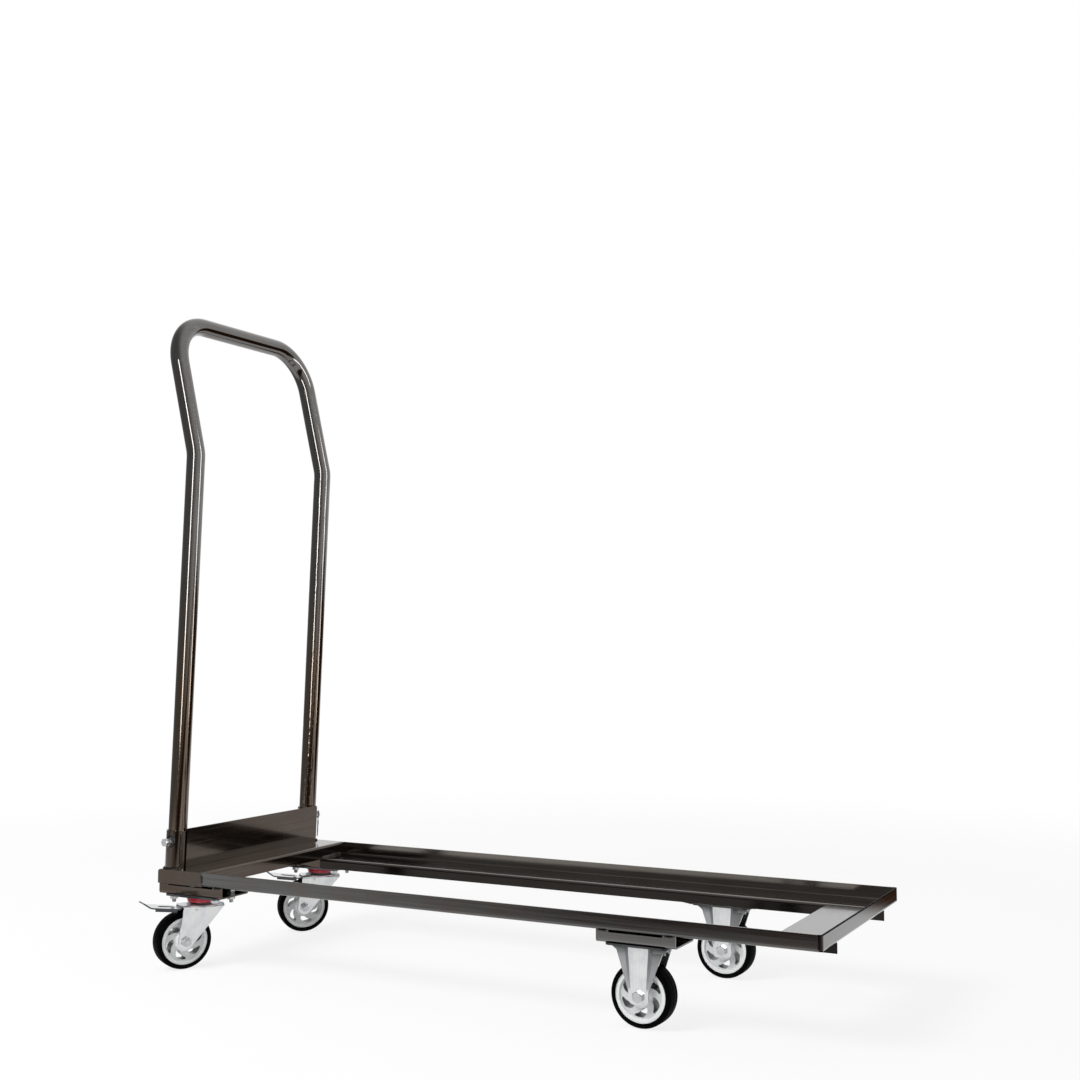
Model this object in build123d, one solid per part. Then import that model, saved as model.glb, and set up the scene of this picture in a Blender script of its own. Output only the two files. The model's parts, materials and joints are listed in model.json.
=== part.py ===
from build123d import *
import math
import os

os.makedirs("parts", exist_ok=True)

# Folded tray: x runs from the handle end to the open end, y from the front rim to the rear rim, z is up
bed_length = 1233.0  # outside of the carrier to outside of the end plate
bed_width = 432.0  # outside of one rim to outside of the other
sheet = 2.5  # folded steel sheet
fold = 2.5  # inside radius of a fold
rim_height = 25.0  # rim above the underside of the tray
flange_width = 82.0  # ledge from the rim to the inner lip
lip_depth = 16.5  # inner lip below the underside of the tray
end_depth = 96.0  # ledge of the end plate
corner_return = 7.0  # end rim turned round each corner
corner_lap = 2.0  # turned corner of the end rim past its fold
seam = 0.4  # open joint left beside a weld

# Carrier box, sockets and end wall at the handle end
carrier_length = 102.0
socket_base = 22.6  # socket axis from the outside of the carrier, at the carrier top
socket_height = 69.0
socket_wall = 2.6
socket_slip = 0.5  # gap all round the handle in its socket
wall_height = 73.0
wall_sheet = 3.0
clamp_height = 49.5  # clamp screw above the carrier top

# Push handle
handle_diameter = 33.7
handle_wall = 2.0
handle_inset = 22.0  # leg centre from the rim line
handle_top = 1201.0
lean = 2.44  # lower legs, degrees towards the open end
kink_height = 928.5
upper_lean = 13.5  # upper legs, degrees away from the open end
kink_radius = 60.0
corner_radius = 85.0
stop_gap = 0.3  # handle foot above the carrier

# Clamp screw
screw_diameter = 8.0
screw_hole = 8.6
screw_flats = 13.0
screw_head = 5.3
screw_reach = 13.0  # outside end of the head from the rim line
nut_height = 6.5
touch_gap = 0.3  # between pieces that may touch and move

# Casters
caster_height = 128.0  # floor to the pan
caster_inset = 37.0  # wheel plane from the rim line
fixed_x = 942.3  # fixed axle from the handle end
swivel_x = 73.0  # swivel axis from the handle end
front_turn = -120.0  # trail direction of the front swivel caster, degrees
rear_turn = -133.0  # trail direction of the rear swivel caster, degrees
front_roll = -13.0  # how far the front swivel wheel has rolled, degrees
rear_roll = 10.0  # how far the rear swivel wheel has rolled, degrees
pan_depth = 19.0
pan_inset = 3.0
fixed_pan_length = 131.0
swivel_pan_length = 144.0
slit_margin = 21.0
slit_height = 3.0
plate_length = 120.0
fixed_plate_length = 104.0
plate_width = 70.0
plate_sheet = 3.0
plate_corner = 9.0
bolt_pitch_x = 95.0  # bolts of a swivel plate
head_clear = 0.5  # between the bolt heads and the folds of the pan
fixed_pitch_x = 72.0  # bolts of a fixed plate, between the legs of its fork
fixed_pitch_y = 17.8
bolt_tail = 6.0  # thread below the nut

# Wheels
tread_clear = 5.5  # tread below the brake pedal
tread_width = 34.0
tread_shoulder = 6.0
tyre_thickness = 8.5
rim_band = 5.5
rim_inset = 2.0  # plastic rim inside the tread face
hub_radius = 17.0
web_thickness = 24.0
window_count = 6
hub_margin = 2.5  # web left between the hub and the windows
rim_margin = 3.0  # web left between the windows and the rim band
window_open = 40.0  # degrees of each window
window_sweep = 24.0  # degrees of swirl from the inside to the outside
window_narrow = 0.55  # opening of a window at the hub over its opening at the rim
window_round = 2.0
hub_taper = 2.0  # sloping edges of the hub and of the web
bush_wall = 4.0
axle_diameter = 10.0
axle_flats = 16.0
axle_head = 6.0
axle_nut = 8.0
axle_tail = 3.0
running = 0.05  # radial clearance of turning pins

# Forks
fork_inside = 41.0  # between the legs
fork_sheet = 2.5
fork_boss = 13.5
fixed_flare = 100.0  # leg width where it meets the plate
fixed_neck = 76.0  # leg width below the flare
neck_drop = 9.0
fixed_panel_top = 33.0  # raised middle panel of the leg
fixed_panel_foot = 25.0
panel_wall = 6.5  # sloping wall on each side of the panel
panel_wall_foot = 3.0
flare_step = 2.5  # flanges below the panel at the plate
neck_step = 2.8
flare_back = 1.5  # outer edges of the flanges, further back
neck_back = 1.8
foot_rise = 7.0  # end of the tapered leg above the axle
foot_half = 16.5  # half width of the fixed leg at the axle
foot_drop = 12.0  # end of the fixed leg below the axle
foot_round = 8.0
trail = 37.0
crown_drop = 16.0  # fork crown below the pan
crown_front = 33.0
crown_rear = 41.0
crown_fold = 3.5
seal_diameter = 56.0
seal_wall = 5.0
seal_height = 9.2
seal_bead = 1.2
race_diameter = 44.0
race_bore = 27.0
kingpin_diameter = 12.0
kingpin_head = 20.0
kingpin_head_height = 2.9

# Brake pedal, measured along the trail from the swivel axis
pedal_sheet = 2.5
pedal_crown_gap = 1.5
pedal_start = 13.0
pivot_along = 18.0
pivot_drop = 5.5  # pin below the fork crown underside
pivot_diameter = 5.0
pin_proud = 1.0  # each end of the pin outside the fork
ear_radius = 4.0
ear_outside = 30.0  # over both ears
arm_width = 30.0
pad_start = 46.0
pad_width = 46.0
pad_end = 101.0
pad_rise = 7.5
pad_round = 8.0
tip_reach = 112.0
tip_rise = 8.0
tip_width = 30.0
tip_round = 6.0
slot_start = 6.0  # from the start of the pad
slot_length = 30.0
slot_width = 12.0
skirt_depth = 5.0  # turned-down sides of the pad
skirt_margin = 8.0
shoe_ahead = 3.0  # middle of the shoe past the axle
shoe_length = 10.0
shoe_width = 18.0
shoe_thickness = 2.5

# Spare lengths that leave no trace on the finished pieces
past = 1.0  # a cut past the face that it opens
spare = 10.0  # a blank past the face that trims it

# Levels worked out from the sizes above
tray_z = caster_height + pan_depth
ledge_z = tray_z + sheet
rim_z = tray_z + rim_height
plate_z = caster_height - plate_sheet
crown_z = caster_height - crown_drop
pedal_z = crown_z - fork_sheet - pedal_crown_gap - pedal_sheet
wheel_radius = (pedal_z - tread_clear) / 2
bolt_pitch_y = 2 * (caster_inset - pan_inset - sheet - fold - head_clear - screw_flats / 2)
lean_axis = Vector(math.sin(math.radians(lean)), 0, math.cos(math.radians(lean)))
socket_inner = handle_diameter / 2 + socket_slip
socket_outer = socket_inner + socket_wall
axle_radius = axle_diameter / 2
bush_bore = axle_radius + running
bush_outer = bush_bore + bush_wall
core_radius = wheel_radius - tyre_thickness
inner_rim = core_radius - rim_band
window_inner = hub_radius + hub_margin
window_outer = inner_rim - rim_margin
fork_half = fork_inside / 2
fork_out = fork_half + fork_sheet
hub_half = fork_half - touch_gap
nodes = {}


def folded(points, thickness, inside):
    # Sheet section: the line is one face, the sheet lies on its left, every fold has the inside radius
    normals = []
    for a, b in zip(points, points[1:]):
        length = math.hypot(b[0] - a[0], b[1] - a[1])
        normals.append(((a[1] - b[1]) / length, (b[0] - a[0]) / length))
    far = []
    near_radii = []
    far_radii = []
    for i, p in enumerate(points):
        a = normals[max(i - 1, 0)]
        b = normals[min(i, len(normals) - 1)]
        spread = 1 + a[0] * b[0] + a[1] * b[1]
        far.append((p[0] + thickness * (a[0] + b[0]) / spread, p[1] + thickness * (a[1] + b[1]) / spread))
        turn = a[0] * b[1] - a[1] * b[0]
        if abs(turn) < 1e-9:
            near_radii.append(0)
            far_radii.append(0)
        elif turn > 0:
            near_radii.append(inside + thickness)
            far_radii.append(inside)
        else:
            near_radii.append(inside)
            far_radii.append(inside + thickness)
    outline = list(points) + far[::-1]
    return make_face(FilletPolyline(*outline, radius=near_radii + far_radii[::-1], close=True))


def block(x0, x1, y0, y1, z0, z1):
    return Pos((x0 + x1) / 2, (y0 + y1) / 2, (z0 + z1) / 2) * Box(x1 - x0, y1 - y0, z1 - z0)


def rod(radius, z0, z1):
    return Pos(0, 0, (z0 + z1) / 2) * Cylinder(radius, z1 - z0)


def cross_rod(radius, y0, y1):
    return Pos(0, (y0 + y1) / 2, 0) * Rot(X=90) * Cylinder(radius, y1 - y0)


def hexagon(flats, z0, z1):
    return Pos(0, 0, z0) * extrude(RegularPolygon(flats / 2, 6, major_radius=False), amount=z1 - z0)


def cross_hexagon(flats, y0, y1):
    return Pos(0, y1, 0) * Rot(X=90) * hexagon(flats, 0, y1 - y0)


def turned(points):
    # Solid of revolution about z from points of radius and height
    return revolve(Plane.XZ * make_face(Polyline(*points, close=True)), axis=Axis.Z)


def across(part):
    # The same piece on the other long side
    return mirror(part, about=Plane.XZ.offset(-bed_width / 2))


# Side rails: rim, ledge and inner lip folded from one sheet
rail_end = bed_length - sheet - fold - seam
lip_y = flange_width - sheet
rail_line = [(0, rim_z), (0, tray_z), (lip_y, tray_z), (lip_y, tray_z - lip_depth)]
rail_section = Plane.YZ.offset(carrier_length) * folded(rail_line, sheet, fold)
rail = extrude(rail_section, amount=bed_length - sheet - carrier_length)
rail -= block(rail_end, bed_length, -past, flange_width + past, tray_z - seam, rim_z + past)
rim_end = bed_length - corner_return - seam
rail -= block(rim_end, bed_length, -past, sheet + fold, ledge_z + seam, rim_z + past)
nodes["side_rail_front"] = rail
nodes["side_rail_rear"] = across(rail)

# End plate: ledge between the rails and a rim that turns round both corners
end_line = [(bed_length - end_depth, tray_z), (bed_length, tray_z), (bed_length, rim_z)]
end_plate = extrude(Plane.XZ * folded(end_line, sheet, fold), amount=-(bed_width - 2 * (sheet + fold)))
end_plate = Pos(0, sheet + fold, 0) * end_plate
rail_notch = block(0, bed_length - sheet - fold, -past, flange_width + seam, tray_z - past, ledge_z + past)
end_plate -= rail_notch
end_plate -= across(rail_notch)
corner_line = [(bed_length - corner_return, 0), (bed_length, 0), (bed_length, sheet + fold + corner_lap)]
corner_foot = ledge_z + 2 * seam
corner = Pos(0, 0, corner_foot) * extrude(folded(corner_line, sheet, fold), amount=rim_z - corner_foot)
end_plate += corner
end_plate += across(corner)
nodes["end_plate"] = end_plate

# Carrier: folded box, open below, with closed ends
carrier_line = [(carrier_length, tray_z), (carrier_length, rim_z), (0, rim_z), (0, tray_z)]
carrier = extrude(Plane.XZ * folded(carrier_line, sheet, fold), amount=-bed_width)
cap = block(sheet / 2, carrier_length - sheet / 2, 0, sheet, tray_z, rim_z - sheet / 2)
carrier += cap
carrier += across(cap)
nodes["end_carrier"] = carrier

# Handle sockets, welded nuts and clamp screws
socket_foot = Plane(origin=(socket_base, handle_inset, rim_z), x_dir=(0, 1, 0), z_dir=lean_axis)
below = block(0, carrier_length, -bed_width, bed_width, rim_z - 2 * spare, rim_z)
socket_solid = socket_foot * rod(socket_outer, -spare, socket_height)
socket_bore = socket_foot * rod(socket_inner, -2 * spare, socket_height + spare)
clamp_x = socket_base + clamp_height * math.tan(math.radians(lean))
clamp_place = Pos(clamp_x, 0, rim_z + clamp_height)
clamp_hole = clamp_place * cross_rod(screw_hole / 2, -screw_reach, handle_inset)
socket = socket_solid - below - socket_bore - clamp_hole
nodes["handle_socket_front"] = socket
nodes["handle_socket_rear"] = across(socket)
nut_seat = handle_inset - socket_outer
nut_blank = clamp_place * cross_hexagon(screw_flats, nut_seat - nut_height, nut_seat + past)
nut_bore = clamp_place * cross_rod(screw_diameter / 2 + running, -screw_reach, handle_inset)
clamp_nut = nut_blank - socket_solid - nut_bore
nodes["clamp_nut_front"] = clamp_nut
nodes["clamp_nut_rear"] = across(clamp_nut)
screw_tip = handle_inset - handle_diameter / 2 - touch_gap
screw = cross_rod(screw_diameter / 2, -screw_reach + screw_head, screw_tip)
screw += cross_hexagon(screw_flats, -screw_reach, -screw_reach + screw_head)
nodes["clamp_screw_front"] = clamp_place * screw
nodes["clamp_screw_rear"] = across(clamp_place * screw)

# End wall: plate against the open-end side of both sockets, leaning with them
wall_box = Box(bed_width - 2 * handle_inset, wall_sheet, wall_height + spare,
               align=(Align.MIN, Align.MAX, Align.MIN))
wall = socket_foot * Pos(0, -socket_outer, -spare) * wall_box
nodes["end_wall"] = wall - block(0, carrier_length, 0, bed_width, rim_z - 2 * spare, rim_z)

# Push handle: one bent tube
leg_slope = math.tan(math.radians(lean))
upper_slope = math.tan(math.radians(upper_lean))
foot_z = rim_z + stop_gap
foot_x = socket_base + stop_gap * leg_slope
kink_x = socket_base + (kink_height - rim_z) * leg_slope
bar_z = handle_top - handle_diameter / 2
bar_x = kink_x - (bar_z - kink_height) * upper_slope
far_leg = bed_width - handle_inset
handle_points = [
    (foot_x - spare * leg_slope, handle_inset, foot_z - spare),
    (kink_x, handle_inset, kink_height),
    (bar_x, handle_inset, bar_z),
    (bar_x, far_leg, bar_z),
    (kink_x, far_leg, kink_height),
    (foot_x - spare * leg_slope, far_leg, foot_z - spare),
]
handle_radii = [kink_radius, corner_radius, corner_radius, kink_radius]
handle_path = FilletPolyline(*handle_points, radius=handle_radii)
handle_ring = Circle(handle_diameter / 2) - Circle(handle_diameter / 2 - handle_wall)
handle = sweep(Plane(origin=handle_path @ 0, z_dir=handle_path % 0) * handle_ring, path=handle_path)
handle -= block(-carrier_length, carrier_length, -bed_width, 2 * bed_width, foot_z - 2 * spare, foot_z)
nodes["push_handle"] = handle


# Caster pans: shallow channels under the rails, closed towards the handle, with a slit along the top of
# the front wall
def pan_at(x, length, pitch):
    back = flange_width - sheet - fold
    pan_line = [(pan_inset, tray_z), (pan_inset, caster_height), (back, caster_height), (back, tray_z)]
    pan = extrude(Plane.YZ.offset(x - length / 2) * folded(pan_line, sheet, fold), amount=length)
    end = x - length / 2
    pan += block(end, end + sheet, pan_inset + sheet / 2, back - sheet / 2, caster_height + sheet / 2, tray_z)
    half_slit = length / 2 - slit_margin
    slit = block(x - half_slit, x + half_slit, pan_inset - past, pan_inset + sheet + past,
                 tray_z - slit_height, tray_z + past)
    return pan - slit - bolts_at(x, caster_inset, pitch, screw_hole / 2, caster_height - past, tray_z)


def bolt_places(x, y, pitch):
    return [Pos(x + i * pitch[0] / 2, y + j * pitch[1] / 2, 0) for i in (-1, 1) for j in (-1, 1)]


def bolts_at(x, y, pitch, radius, z0, z1):
    return [place * rod(radius, z0, z1) for place in bolt_places(x, y, pitch)]


swivel_pitch = (bolt_pitch_x, bolt_pitch_y)
fixed_pitch = (fixed_pitch_x, fixed_pitch_y)
fixed_pan = pan_at(fixed_x, fixed_pan_length, fixed_pitch)
swivel_pan = pan_at(swivel_x, swivel_pan_length, swivel_pitch)
nodes["fixed_pan_front"] = fixed_pan
nodes["fixed_pan_rear"] = across(fixed_pan)
nodes["swivel_pan_front"] = swivel_pan
nodes["swivel_pan_rear"] = across(swivel_pan)

# Bolts with heads inside the pans and nuts under the caster plates
head_z = caster_height + sheet
nut_z = plate_z - nut_height
bolt = rod(screw_diameter / 2, nut_z - bolt_tail, head_z) + hexagon(screw_flats, head_z, head_z + screw_head)
nut = hexagon(screw_flats, nut_z, plate_z) - rod(screw_diameter / 2, nut_z - past, plate_z + past)
caster_places = []
for x, pitch in ((fixed_x, fixed_pitch), (swivel_x, swivel_pitch)):
    caster_places += bolt_places(x, caster_inset, pitch) + bolt_places(x, bed_width - caster_inset, pitch)
nodes["caster_bolts"] = Compound(children=[place * bolt for place in caster_places])
nodes["caster_nuts"] = Compound(children=[place * nut for place in caster_places])


def top_plate(length, pitch):
    plate = block(-length / 2, length / 2, -plate_width / 2, plate_width / 2, plate_z, caster_height)
    plate = fillet(plate.edges().filter_by(Axis.Z), plate_corner)
    return plate - bolts_at(0, 0, pitch, screw_hole / 2, plate_z - past, caster_height + past)


# Fixed fork: two tapered legs with a raised middle panel, welded under a plate
def leg_section(z, width, panel, wall, step, back):
    half = width / 2
    flat = panel / 2
    flange = fork_out - step
    outer = [(-half, flange - back), (-flat - wall, flange), (-flat, fork_out),
             (flat, fork_out), (flat + wall, flange), (half, flange - back)]
    inner = [(x, y - fork_sheet) for x, y in outer[::-1]]
    return Pos(0, 0, z) * make_face(Polyline(*outer, *inner, close=True))


foot_z_leg = wheel_radius + foot_rise
leg_flare = leg_section(plate_z, fixed_flare, fixed_panel_top, panel_wall, flare_step, flare_back)
leg_neck = leg_section(plate_z - neck_drop, fixed_neck, fixed_panel_top, panel_wall, neck_step, neck_back)
leg_foot = leg_section(foot_z_leg, 2 * foot_half, fixed_panel_foot, panel_wall_foot, 0, 0)
fixed_leg = loft([leg_flare, leg_neck], ruled=True) + loft([leg_neck, leg_foot], ruled=True)
foot_corner = Pos(foot_half - foot_round, foot_round - foot_drop) * Circle(foot_round)
foot_corners = foot_corner + mirror(foot_corner, about=Plane.YZ)
leg_end = make_hull((foot_corners + Pos(0, foot_rise) * Rectangle(2 * foot_half, 0.2)).edges())
fixed_leg += Pos(0, fork_out, wheel_radius) * extrude(Plane.XZ * leg_end, amount=fork_sheet)
fixed_fork = top_plate(fixed_plate_length, fixed_pitch) + fixed_leg + mirror(fixed_leg, about=Plane.XZ)
axle_hole = Pos(0, 0, wheel_radius) * cross_rod(axle_radius, -fork_out - past, fork_out + past)
fixed_fork -= axle_hole


def axle_parts():
    bolt_part = cross_rod(axle_radius, -fork_out, fork_out + axle_nut + axle_tail)
    bolt_part += cross_hexagon(axle_flats, -fork_out - axle_head, -fork_out)
    nut_part = cross_hexagon(axle_flats, fork_out, fork_out + axle_nut)
    nut_part -= cross_rod(axle_radius, fork_out - past, fork_out + axle_nut + past)
    return Pos(0, 0, wheel_radius) * bolt_part, Pos(0, 0, wheel_radius) * nut_part


# Wheel: tyre, plastic centre with swirl windows, bush
def wheel_parts():
    half = tread_width / 2
    core_half = half - rim_inset
    tyre_section = make_face(Polyline((core_radius, -half), (wheel_radius, -half), (wheel_radius, half),
                                      (core_radius, half), close=True))
    tyre_section = fillet(tyre_section.vertices().group_by(Axis.X)[-1], tread_shoulder)
    tyre = revolve(Plane.XZ * tyre_section, axis=Axis.Z)
    web = web_thickness / 2
    core = turned([
        (bush_outer, -hub_half), (hub_radius - hub_taper, -hub_half), (hub_radius, -hub_half + hub_taper),
        (hub_radius + hub_taper, -web), (inner_rim - hub_taper, -web), (inner_rim, -core_half),
        (core_radius, -core_half), (core_radius, core_half), (inner_rim, core_half),
        (inner_rim - hub_taper, web),
        (hub_radius + hub_taper, web), (hub_radius, hub_half - hub_taper), (hub_radius - hub_taper, hub_half),
        (bush_outer, hub_half),
    ])
    window = swirl_window()
    for i in range(window_count):
        core -= Rot(Z=i * 360 / window_count) * window
    bush = rod(bush_outer, -hub_half, hub_half) - rod(bush_bore, -hub_half - past, hub_half + past)
    stand = Pos(0, 0, wheel_radius) * Rot(X=-90)
    return stand * core, stand * tyre, stand * bush


def polar(radius, degrees):
    return (radius * math.cos(math.radians(degrees)), radius * math.sin(math.radians(degrees)))


def swirl_window():
    # Two arcs about the wheel centre joined by two swept sides that bow the same way
    middle = (window_inner + window_outer) / 2
    bow = window_sweep / 3
    narrow = window_open * window_narrow
    out_a = polar(window_outer, window_sweep)
    out_b = polar(window_outer, window_sweep + window_open)
    in_a = polar(window_inner, 0)
    in_b = polar(window_inner, narrow)
    arc_out = ThreePointArc(out_a, polar(window_outer, window_sweep + window_open / 2), out_b)
    side_b = ThreePointArc(out_b, polar(middle, bow + (narrow + window_open) / 2), in_b)
    arc_in = ThreePointArc(in_b, polar(window_inner, narrow / 2), in_a)
    side_a = ThreePointArc(in_a, polar(middle, bow), out_a)
    outline = make_face([arc_out, side_b, arc_in, side_a])
    outline = fillet(outline.vertices(), window_round)
    return Pos(0, 0, -tread_width) * extrude(outline, amount=2 * tread_width)


fixed_axle, fixed_nut = axle_parts()
wheel_core, wheel_tyre, wheel_bush = wheel_parts()
fixed_place = Pos(fixed_x, caster_inset, 0)
for side, place in (("front", fixed_place), ("rear", Pos(fixed_x, bed_width - caster_inset, 0))):
    nodes["fixed_fork_" + side] = place * fixed_fork
    nodes["fixed_axle_" + side] = place * fixed_axle
    nodes["fixed_axle_nut_" + side] = place * fixed_nut
    nodes["fixed_wheel_" + side] = place * wheel_core
    nodes["fixed_tyre_" + side] = place * wheel_tyre
    nodes["fixed_bush_" + side] = place * wheel_bush

# Swivel top plate, kingpin, seal ring and thrust bearing: these stay with the frame
kingpin_radius = kingpin_diameter / 2
head_top = crown_z - fork_sheet - touch_gap
swivel_plate = top_plate(plate_length, swivel_pitch)
swivel_plate -= rod(kingpin_radius, plate_z - past, caster_height + past)
kingpin = rod(kingpin_radius, head_top, caster_height)
kingpin += rod(kingpin_head / 2, head_top - kingpin_head_height, head_top)
seal_radius = seal_diameter / 2
seal_foot = plate_z - seal_height
seal_middle = plate_z - seal_height / 2
seal = turned([
    (seal_radius - seal_wall, seal_foot), (seal_radius - seal_bead, seal_foot),
    (seal_radius - seal_bead, seal_middle - seal_bead), (seal_radius, seal_middle),
    (seal_radius - seal_bead, seal_middle + seal_bead), (seal_radius - seal_bead, plate_z),
    (seal_radius - seal_wall, plate_z),
])
race_radius = race_diameter / 2
race = rod(race_radius, crown_z + touch_gap, plate_z) - rod(race_bore / 2, crown_z, plate_z + past)

# Swivel fork: a bent strap cut to a swept outline
strap_line = [(fork_out, 0), (fork_out, crown_z), (-fork_out, crown_z), (-fork_out, 0)]
strap_section = Plane.YZ.offset(-2 * trail) * folded(strap_line, fork_sheet, crown_fold)
strap = extrude(strap_section, amount=4 * trail)
crown_middle = (crown_rear - crown_front) / 2
crown_box = Pos(crown_middle, crown_z - fork_sheet) * Rectangle(crown_front + crown_rear, 2 * fork_sheet)
leg_outline = make_hull((Pos(trail, wheel_radius) * Circle(fork_boss) + crown_box).edges())
swivel_fork = strap & Pos(0, 2 * fork_out, 0) * extrude(Plane.XZ * leg_outline, amount=4 * fork_out)
pivot_z = crown_z - fork_sheet - pivot_drop
pivot_place = Pos(pivot_along, 0, pivot_z)
swivel_fork -= rod(kingpin_radius + running, crown_z - fork_sheet - past, crown_z + past)
swivel_fork -= Pos(trail, 0, 0) * axle_hole
pedal_pin = pivot_place * cross_rod(pivot_diameter / 2, -fork_out - pin_proud, fork_out + pin_proud)
swivel_fork -= pedal_pin

# Brake pedal: arms under the crown, slotted pad, turned-up tip, two ears on the pin
pedal_line = [(pedal_start, pedal_z), (pad_start, pedal_z), (pad_end, pedal_z + pad_rise),
              (tip_reach, pedal_z + pad_rise + tip_rise)]
pedal = extrude(Plane.XZ * folded(pedal_line, pedal_sheet, fold), amount=pad_width / 2, both=True)
arm_plan = Pos(pad_start / 2, 0) * Rectangle(pad_start + 2 * spare, arm_width)
pad_plan = Pos((pad_start + pad_end) / 2, 0) * RectangleRounded(pad_end - pad_start, pad_width, pad_round)
tip_plan = Pos(pad_end, 0) * RectangleRounded(4 * (tip_reach - pad_end), tip_width, tip_round)
plan = arm_plan + pad_plan + tip_plan
plan -= Pos(pad_start + slot_start + slot_length / 2, 0) * SlotOverall(slot_length, slot_width)
pedal = pedal & extrude(plan, amount=2 * caster_height)
pad_slope = pad_rise / (pad_end - pad_start)
skirt_line = [(pad_start + skirt_margin, pedal_z + skirt_margin * pad_slope + pedal_sheet / 2),
              (pad_end - skirt_margin, pedal_z + pad_rise - skirt_margin * pad_slope + pedal_sheet / 2)]
skirt_low = [(x, z - skirt_depth) for x, z in skirt_line[::-1]]
skirt = Plane.XZ * make_face(Polyline(*skirt_line, *skirt_low, close=True))
skirt = Pos(0, pad_width / 2, 0) * extrude(skirt, amount=pedal_sheet)
pedal += skirt
pedal += mirror(skirt, about=Plane.XZ)
ear_root = Pos(0, pedal_z - pivot_z + pedal_sheet / 2) * Rectangle(2 * ear_radius, past)
ear = make_hull((Circle(ear_radius) + ear_root).edges())
ear_plate = pivot_place * Pos(0, ear_outside / 2, 0) * extrude(Plane.XZ * ear, amount=pedal_sheet)
pedal += ear_plate
pedal += mirror(ear_plate, about=Plane.XZ)
pedal -= pivot_place * cross_rod(pivot_diameter / 2 + running, -fork_out, fork_out)
shoe_middle = trail + shoe_ahead
shoe = block(shoe_middle - shoe_length / 2, shoe_middle + shoe_length / 2, -shoe_width / 2, shoe_width / 2,
             pedal_z - shoe_thickness, pedal_z)

swivel_axle, swivel_nut = axle_parts()
along = Pos(trail, 0, 0)
axle_line = Pos(0, 0, wheel_radius)
turns = (("front", caster_inset, front_turn, front_roll),
         ("rear", bed_width - caster_inset, rear_turn, rear_roll))
for side, y, turn, roll in turns:
    still = Pos(swivel_x, y, 0)
    place = still * Rot(Z=turn)
    nodes["swivel_plate_" + side] = still * swivel_plate
    nodes["kingpin_" + side] = still * kingpin
    nodes["seal_ring_" + side] = still * seal
    nodes["thrust_race_" + side] = still * race
    nodes["swivel_fork_" + side] = place * swivel_fork
    nodes["swivel_axle_" + side] = place * along * swivel_axle
    nodes["swivel_axle_nut_" + side] = place * along * swivel_nut
    nodes["pedal_pin_" + side] = place * pedal_pin
    nodes["brake_pedal_" + side] = place * pedal
    nodes["brake_shoe_" + side] = place * shoe
    rolled_core = axle_line * Rot(Y=roll) * axle_line.inverse() * wheel_core
    nodes["swivel_wheel_" + side] = place * along * rolled_core
    nodes["swivel_tyre_" + side] = place * along * wheel_tyre
    nodes["swivel_bush_" + side] = place * along * wheel_bush

# The origin goes to the floor, under the middle of the whole cart
boxes = [shape.bounding_box() for shape in nodes.values()]
middle_x = (min(box.min.X for box in boxes) + max(box.max.X for box in boxes)) / 2
middle_y = (min(box.min.Y for box in boxes) + max(box.max.Y for box in boxes)) / 2
floor_z = min(box.min.Z for box in boxes)
origin = Pos(-middle_x, -middle_y, -floor_z)
for name, shape in nodes.items():
    export_step(origin * shape, "parts/" + name + ".step")
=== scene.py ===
import bpy
import bmesh
import json
import math
import numpy as np
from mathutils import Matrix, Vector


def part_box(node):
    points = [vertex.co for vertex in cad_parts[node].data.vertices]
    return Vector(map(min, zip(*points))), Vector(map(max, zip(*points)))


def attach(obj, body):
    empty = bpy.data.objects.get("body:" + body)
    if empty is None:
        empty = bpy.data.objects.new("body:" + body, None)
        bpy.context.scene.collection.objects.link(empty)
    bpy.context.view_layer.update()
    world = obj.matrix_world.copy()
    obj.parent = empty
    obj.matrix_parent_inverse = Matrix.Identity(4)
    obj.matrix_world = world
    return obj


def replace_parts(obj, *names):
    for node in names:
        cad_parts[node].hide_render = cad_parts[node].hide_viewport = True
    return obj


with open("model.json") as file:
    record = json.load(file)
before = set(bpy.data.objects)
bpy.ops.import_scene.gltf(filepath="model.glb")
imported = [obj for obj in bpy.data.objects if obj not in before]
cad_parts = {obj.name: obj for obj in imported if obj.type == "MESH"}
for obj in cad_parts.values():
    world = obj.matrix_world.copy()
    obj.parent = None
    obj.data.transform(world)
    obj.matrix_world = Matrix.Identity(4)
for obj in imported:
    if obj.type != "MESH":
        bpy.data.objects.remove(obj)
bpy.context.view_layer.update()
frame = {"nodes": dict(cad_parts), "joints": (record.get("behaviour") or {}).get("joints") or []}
mm = 0.001


def cornersOf(node):  # lowest and highest corner of a node, in metres
    low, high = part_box(node)
    return np.array(low), np.array(high)


def cornersInMm(node):
    low, high = cornersOf(node)
    return low / mm, high / mm


def middleOf(node):
    return np.mean(cornersOf(node), 0)


def unit(v):
    v = np.asarray(v, float)
    return v / np.linalg.norm(v, axis=-1, keepdims=True)


sides = (("front", -1.0), ("rear", 1.0))  # each side and its way out of the cart along y
wheelPlaces = {}  # centre of each wheel, and the direction of its axle from the bolt's head to its nut
for side, outward in sides:
    wheelPlaces["fixed_" + side] = middleOf("fixed_tyre_" + side), np.array((0.0, 1.0, 0.0))
    centre = middleOf("swivel_tyre_" + side)
    trail = unit((centre - middleOf("kingpin_" + side)) * (1, 1, 0))
    wheelPlaces["swivel_" + side] = centre, np.cross((0, 0, 1), trail)

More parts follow.
